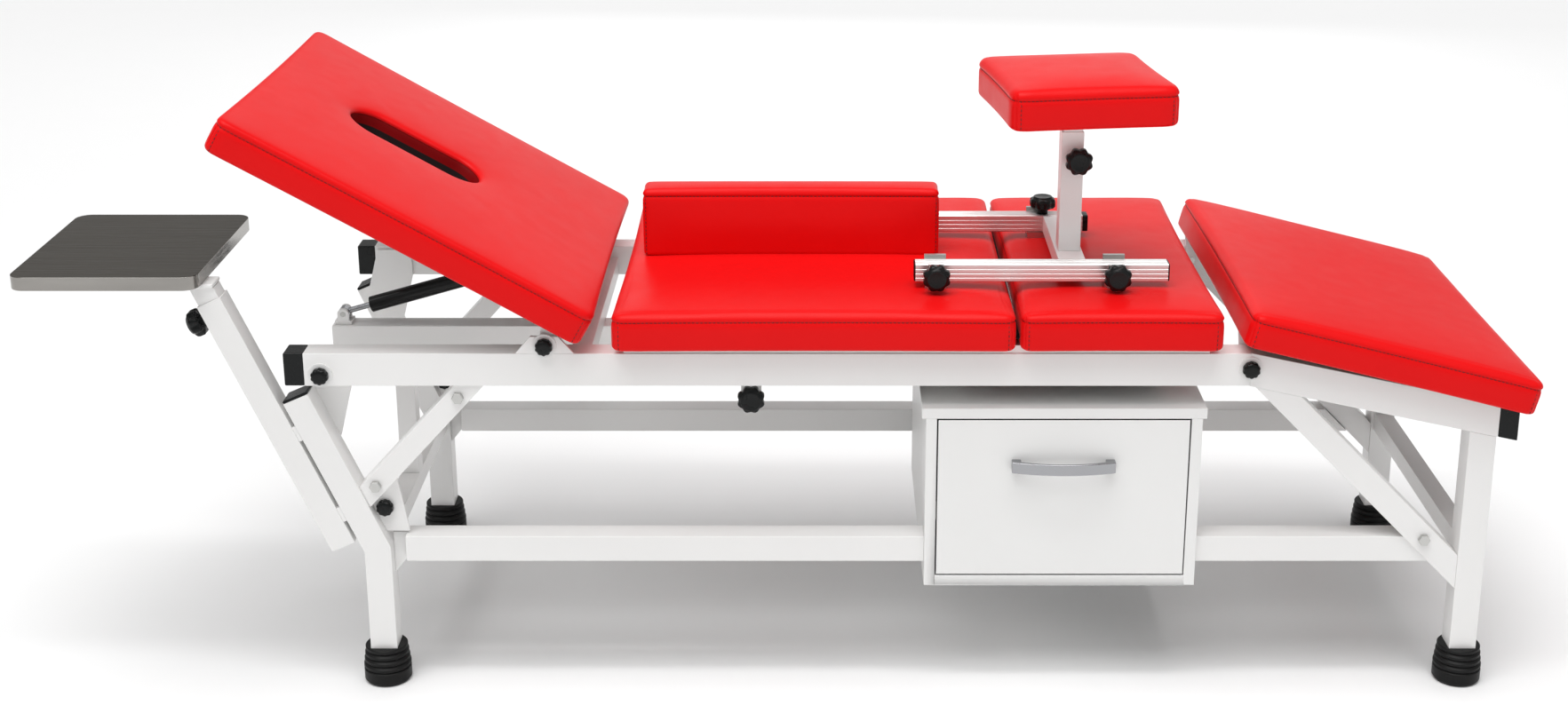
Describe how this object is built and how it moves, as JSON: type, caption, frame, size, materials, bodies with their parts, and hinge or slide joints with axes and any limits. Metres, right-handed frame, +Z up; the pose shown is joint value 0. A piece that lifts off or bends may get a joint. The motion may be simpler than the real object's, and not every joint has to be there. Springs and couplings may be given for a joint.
{
  "type": "traction bed",
  "caption": "Padded treatment bed with tilting backrest, floating seat, lifting foot rest, bolster, leg stool on slide bars, side tray and hanging drawer cabinet.",
  "frame": {"origin": "on the floor, under the middle of the bounding box", "axes": "+X from the head end to the foot end, +Y away from the drawer side, +Z up"},
  "size_m": [2.1983, 0.62, 0.9183],
  "materials": {
    "white_paint": "white powder coat, satin",
    "black_plastic": "black moulded plastic, satin",
    "white_plastic": "white moulded plastic",
    "black_rubber": "black moulded rubber",
    "zinc": "zinc plated steel",
    "chrome": "polished chrome plate",
    "black_paint": "black gloss paint",
    "ribbed_aluminium": "ribbed extrusion, satin",
    "steel_sheet": "brushed stainless sheet",
    "white_board": "white laminated board",
    "plywood": "plain plywood",
    "red_leatherette": "red leatherette over foam, stitched seams"
  },
  "bodies": {
    "frame": {"side_rails": "white_paint", "foot_rails": "white_paint", "end_plugs": "black_plastic", "head_legs": "white_paint", "foot_legs": "white_paint", "head_braces": "white_paint", "foot_braces": "white_paint", "stretchers": "white_paint", "leg_cross_tubes": "white_paint", "rail_cross_tubes": "white_paint", "centre_beam": "white_paint", "beam_post": "white_paint", "gusset_plates": "white_paint", "rubber_feet": "black_rubber", "backrest_hinge_plates": "white_paint", "pivot_pins": "zinc", "bolt_washers": "white_plastic", "bolt_caps": "black_plastic", "brace_bolts": "zinc", "spring_clevis": "white_paint", "spring_low_pin": "zinc", "tray_sleeve": "white_paint", "cabinet_boards": "white_board", "cabinet_hangers": "white_paint", "drawer_runners": "zinc"},
    "backrest": {"backrest_cushion": "red_leatherette", "backrest_board": "plywood", "backrest_bars": "white_paint", "backrest_lugs": "white_paint", "spring_top_pin": "zinc"},
    "spring_rod": {"spring_rod": "chrome"},
    "spring_cylinder": {"spring_cylinder": "black_paint"},
    "carriage": {"seat_runners": "white_paint", "lumbar_cushion": "red_leatherette", "pelvic_cushion": "red_leatherette", "seat_boards": "plywood", "lock_bracket": "white_paint", "stool_clamps": "zinc"},
    "lock_knob": {"lock_knob": "black_plastic"},
    "bolster": {"bolster": "red_leatherette"},
    "foot_rest": {"foot_cushion": "red_leatherette", "foot_board": "plywood", "foot_hinge_lugs": "white_paint"},
    "stool_frame": {"stool_bars": "ribbed_aluminium", "stool_cross_bar": "white_paint", "stool_sleeve": "white_paint"},
    "stool_post": {"stool_post": "white_paint"},
    "stool_seat": {"stool_plate": "white_paint", "stool_cushion": "red_leatherette"},
    "clamp_knob_left": {"clamp_knob_left": "black_plastic"},
    "clamp_knob_right": {"clamp_knob_right": "black_plastic"},
    "cross_knob": {"cross_knob": "black_plastic"},
    "sleeve_knob": {"sleeve_knob": "black_plastic"},
    "tray": {"tray_post": "white_paint", "tray_arm": "white_paint", "tray": "steel_sheet"},
    "tray_knob": {"tray_knob": "black_plastic"},
    "drawer": {"drawer_front": "white_board", "drawer_box": "white_board", "drawer_handle": "chrome"}
  },
  "joints": [
    {"name": "backrest_tilt", "type": "hinge", "parent": "frame", "child": "backrest", "pos_m": [-0.344, 0, 0.544], "axis": [0, 1, 0], "range_deg": [-18.5, 15.3]},
    {"name": "spring_rod_swing", "type": "hinge", "parent": "frame", "child": "spring_rod", "pos_m": [-0.695, 0, 0.499], "axis": [0, -1, 0], "range_deg": [-6.1, 5.1]},
    {"name": "spring_cylinder_swing", "type": "hinge", "parent": "backrest", "child": "spring_cylinder", "pos_m": [-0.436, 0, 0.57345], "axis": [0, -1, 0], "range_deg": [-24.7, 20.5]},
    {"name": "seat_float", "type": "slide", "parent": "frame", "child": "carriage", "axis": [1, 0, 0], "range_m": [0, 0.01]},
    {"name": "lock_knob_turn", "type": "hinge", "parent": "carriage", "child": "lock_knob", "pos_m": [-0.047, -0.25, 0.452], "axis": [0, -1, 0], "range_deg": [0, 180]},
    {"name": "bolster_place", "type": "slide", "parent": "carriage", "child": "bolster", "axis": [0, 1, 0], "range_m": [-0.1, 0.03]},
    {"name": "foot_rest_lift", "type": "hinge", "parent": "frame", "child": "foot_rest", "pos_m": [0.678, 0, 0.509], "axis": [0, -1, 0], "range_deg": [0, 14.2]},
    {"name": "stool_slide", "type": "slide", "parent": "carriage", "child": "stool_frame", "axis": [1, 0, 0], "range_m": [-0.055, 0.015]},
    {"name": "stool_height", "type": "slide", "parent": "stool_frame", "child": "stool_post", "axis": [0, 0, 1], "range_m": [0, 0.1]},
    {"name": "stool_swivel", "type": "hinge", "parent": "stool_post", "child": "stool_seat", "pos_m": [0.426, -0.123, 0.847], "axis": [0, 0, 1], "range_deg": [-90, 90]},
    {"name": "clamp_knob_left_turn", "type": "hinge", "parent": "carriage", "child": "clamp_knob_left", "pos_m": [0.224, -0.22, 0.6295], "axis": [0, -1, 0], "range_deg": [0, 180]},
    {"name": "clamp_knob_right_turn", "type": "hinge", "parent": "carriage", "child": "clamp_knob_right", "pos_m": [0.488, -0.22, 0.6295], "axis": [0, -1, 0], "range_deg": [0, 180]},
    {"name": "cross_knob_turn", "type": "hinge", "parent": "stool_frame", "child": "cross_knob", "pos_m": [0.406, 0.061, 0.643], "axis": [0, 0, 1], "range_deg": [0, 180]},
    {"name": "sleeve_knob_turn", "type": "hinge", "parent": "stool_frame", "child": "sleeve_knob", "pos_m": [0.434, -0.15, 0.786], "axis": [0, -1, 0], "range_deg": [0, 180]},
    {"name": "tray_height", "type": "slide", "parent": "frame", "child": "tray", "axis": [-0.4019, 0, 0.9157], "range_m": [0, 0.12]},
    {"name": "tray_knob_turn", "type": "hinge", "parent": "frame", "child": "tray_knob", "pos_m": [-0.83142, -0.26, 0.57985], "axis": [-0.9157, 0, -0.4019], "range_deg": [0, 180]},
    {"name": "drawer_slide", "type": "slide", "parent": "frame", "child": "drawer", "axis": [0, -1, 0], "range_m": [0, 0.3]}
  ],
  "couplings": [
    {"joint": "spring_rod_swing", "follows": "backrest_tilt", "ratio": 0.3178},
    {"joint": "spring_cylinder_swing", "follows": "backrest_tilt", "ratio": 1.3178}
  ]
}
